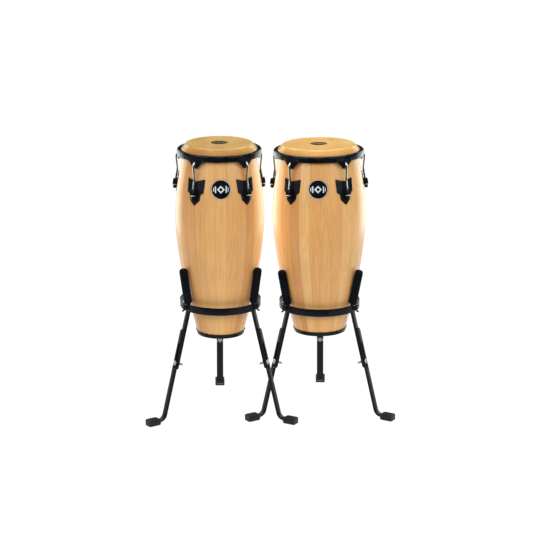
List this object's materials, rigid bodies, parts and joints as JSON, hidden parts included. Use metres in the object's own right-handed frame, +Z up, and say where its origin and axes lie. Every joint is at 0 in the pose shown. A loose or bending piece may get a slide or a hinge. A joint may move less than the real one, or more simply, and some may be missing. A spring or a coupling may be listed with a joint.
{
  "type": "conga drums",
  "caption": "Pair of tall barrel-shaped hand drums with skin heads, hook-tuned steel rims and open feet, each standing in a three-legged basket stand with height-adjustable legs.",
  "frame": {"origin": "on the floor, under the middle of the pair's outer box", "axes": "+Z up, +Y away from the players' side, +X from the smaller drum to the larger one"},
  "size_m": [0.928, 0.5694, 1.0287],
  "materials": {
    "wood": "clear gloss lacquer over light stave wood",
    "skin": "satin natural hide",
    "black_steel": "black powder coat, semi-gloss",
    "chrome": "polished",
    "foam": "matte soft sleeve",
    "badge_lacquer": "gloss black with a pale outline",
    "boot_rubber": "moulded rubber"
  },
  "bodies": {
    "stands": {"quinto_basket_ring": "black_steel", "quinto_upper_leg_front_left": "black_steel", "quinto_leg_sleeve_front_left": "foam", "quinto_upper_leg_front_right": "black_steel", "quinto_leg_sleeve_front_right": "foam", "quinto_upper_leg_rear": "black_steel", "quinto_leg_sleeve_rear": "foam", "conga_basket_ring": "black_steel", "conga_upper_leg_front_left": "black_steel", "conga_leg_sleeve_front_left": "foam", "conga_upper_leg_front_right": "black_steel", "conga_leg_sleeve_front_right": "foam", "conga_upper_leg_rear": "black_steel", "conga_leg_sleeve_rear": "foam"},
    "quinto_drum": {"quinto_shell": "wood", "quinto_bottom_ring": "black_steel", "quinto_head": "skin", "quinto_rim": "black_steel", "quinto_badge": "badge_lacquer", "quinto_tuning_hook_1": "chrome", "quinto_side_plate_1": "black_steel", "quinto_tuning_hook_2": "chrome", "quinto_side_plate_2": "black_steel", "quinto_tuning_hook_3": "chrome", "quinto_side_plate_3": "black_steel", "quinto_tuning_hook_4": "chrome", "quinto_side_plate_4": "black_steel", "quinto_tuning_hook_5": "chrome", "quinto_side_plate_5": "black_steel"},
    "quinto_tuning_nut_1": {"quinto_tuning_nut_1": "black_steel"},
    "quinto_tuning_nut_2": {"quinto_tuning_nut_2": "black_steel"},
    "quinto_tuning_nut_3": {"quinto_tuning_nut_3": "black_steel"},
    "quinto_tuning_nut_4": {"quinto_tuning_nut_4": "black_steel"},
    "quinto_tuning_nut_5": {"quinto_tuning_nut_5": "black_steel"},
    "quinto_lower_leg_front_left": {"quinto_lower_leg_front_left": "black_steel"},
    "quinto_lower_leg_front_right": {"quinto_lower_leg_front_right": "black_steel"},
    "quinto_lower_leg_rear": {"quinto_lower_leg_rear": "black_steel"},
    "conga_drum": {"conga_shell": "wood", "conga_bottom_ring": "black_steel", "conga_head": "skin", "conga_rim": "black_steel", "conga_badge": "badge_lacquer", "conga_tuning_hook_1": "chrome", "conga_side_plate_1": "black_steel", "conga_tuning_hook_2": "chrome", "conga_side_plate_2": "black_steel", "conga_tuning_hook_3": "chrome", "conga_side_plate_3": "black_steel", "conga_tuning_hook_4": "chrome", "conga_side_plate_4": "black_steel", "conga_tuning_hook_5": "chrome", "conga_side_plate_5": "black_steel"},
    "conga_tuning_nut_1": {"conga_tuning_nut_1": "black_steel"},
    "conga_tuning_nut_2": {"conga_tuning_nut_2": "black_steel"},
    "conga_tuning_nut_3": {"conga_tuning_nut_3": "black_steel"},
    "conga_tuning_nut_4": {"conga_tuning_nut_4": "black_steel"},
    "conga_tuning_nut_5": {"conga_tuning_nut_5": "black_steel"},
    "conga_lower_leg_front_left": {"conga_lower_leg_front_left": "black_steel"},
    "conga_lower_leg_front_right": {"conga_lower_leg_front_right": "black_steel"},
    "conga_lower_leg_rear": {"conga_lower_leg_rear": "black_steel"}
  },
  "joints": [
    {"name": "quinto_lift_out", "type": "slide", "parent": "stands", "child": "quinto_drum", "axis": [0, 0, 1], "range_m": [0, 0.3]},
    {"name": "quinto_nut_turn_1", "type": "hinge", "parent": "quinto_drum", "child": "quinto_tuning_nut_1", "pos_m": [-0.35457, -0.0396, 0.85439], "axis": [0.1609, -0.0488, 0.9858], "continuous": true},
    {"name": "quinto_nut_turn_2", "type": "hinge", "parent": "quinto_drum", "child": "quinto_tuning_nut_2", "pos_m": [-0.28069, -0.22811, 0.85308], "axis": [0.0896, 0.1332, 0.987], "continuous": true},
    {"name": "quinto_nut_turn_3", "type": "hinge", "parent": "quinto_drum", "child": "quinto_tuning_nut_3", "pos_m": [-0.07857, -0.2161, 0.85316], "axis": [-0.1056, 0.1216, 0.9869], "continuous": true},
    {"name": "quinto_nut_turn_4", "type": "hinge", "parent": "quinto_drum", "child": "quinto_tuning_nut_4", "pos_m": [-0.02753, -0.02017, 0.85453], "axis": [-0.1548, -0.0676, 0.9856], "continuous": true},
    {"name": "quinto_nut_turn_5", "type": "hinge", "parent": "quinto_drum", "child": "quinto_tuning_nut_5", "pos_m": [-0.19811, 0.08892, 0.85529], "axis": [0.0099, -0.1729, 0.9849], "continuous": true},
    {"name": "quinto_leg_slide_front_left", "type": "slide", "parent": "stands", "child": "quinto_lower_leg_front_left", "axis": [-0.2107, -0.1503, -0.9659], "range_m": [-0.022, 0.07]},
    {"name": "quinto_leg_slide_front_right", "type": "slide", "parent": "stands", "child": "quinto_lower_leg_front_right", "axis": [0.223, -0.1314, -0.9659], "range_m": [-0.022, 0.07]},
    {"name": "quinto_leg_slide_rear", "type": "slide", "parent": "stands", "child": "quinto_lower_leg_rear", "axis": [-0.0113, 0.2586, -0.9659], "range_m": [-0.022, 0.07]},
    {"name": "conga_lift_out", "type": "slide", "parent": "stands", "child": "conga_drum", "axis": [0, 0, 1], "range_m": [0, 0.3]},
    {"name": "conga_nut_turn_1", "type": "hinge", "parent": "conga_drum", "child": "conga_tuning_nut_1", "pos_m": [0.00456, 0.03077, 0.83912], "axis": [0.1466, -0.0447, 0.9882], "continuous": true},
    {"name": "conga_nut_turn_2", "type": "hinge", "parent": "conga_drum", "child": "conga_tuning_nut_2", "pos_m": [0.06347, -0.1774, 0.84276], "axis": [0.0924, 0.1469, 0.9848], "continuous": true},
    {"name": "conga_nut_turn_3", "type": "hinge", "parent": "conga_drum", "child": "conga_tuning_nut_3", "pos_m": [0.27967, -0.18566, 0.8456], "axis": [-0.1066, 0.1545, 0.9822], "continuous": true},
    {"name": "conga_nut_turn_4", "type": "hinge", "parent": "conga_drum", "child": "conga_tuning_nut_4", "pos_m": [0.35438, 0.01739, 0.8437], "axis": [-0.1754, -0.0324, 0.984], "continuous": true},
    {"name": "conga_nut_turn_5", "type": "hinge", "parent": "conga_drum", "child": "conga_tuning_nut_5", "pos_m": [0.18435, 0.15116, 0.83969], "axis": [-0.0189, -0.1555, 0.9877], "continuous": true},
    {"name": "conga_leg_slide_front_left", "type": "slide", "parent": "stands", "child": "conga_lower_leg_front_left", "axis": [-0.2171, -0.141, -0.9659], "range_m": [-0.022, 0.07]},
    {"name": "conga_leg_slide_front_right", "type": "slide", "parent": "stands", "child": "conga_lower_leg_front_right", "axis": [0.2195, -0.1372, -0.9659], "range_m": [-0.022, 0.07]},
    {"name": "conga_leg_slide_rear", "type": "slide", "parent": "stands", "child": "conga_lower_leg_rear", "axis": [0.0108, 0.2586, -0.9659], "range_m": [-0.022, 0.07]}
  ]
}
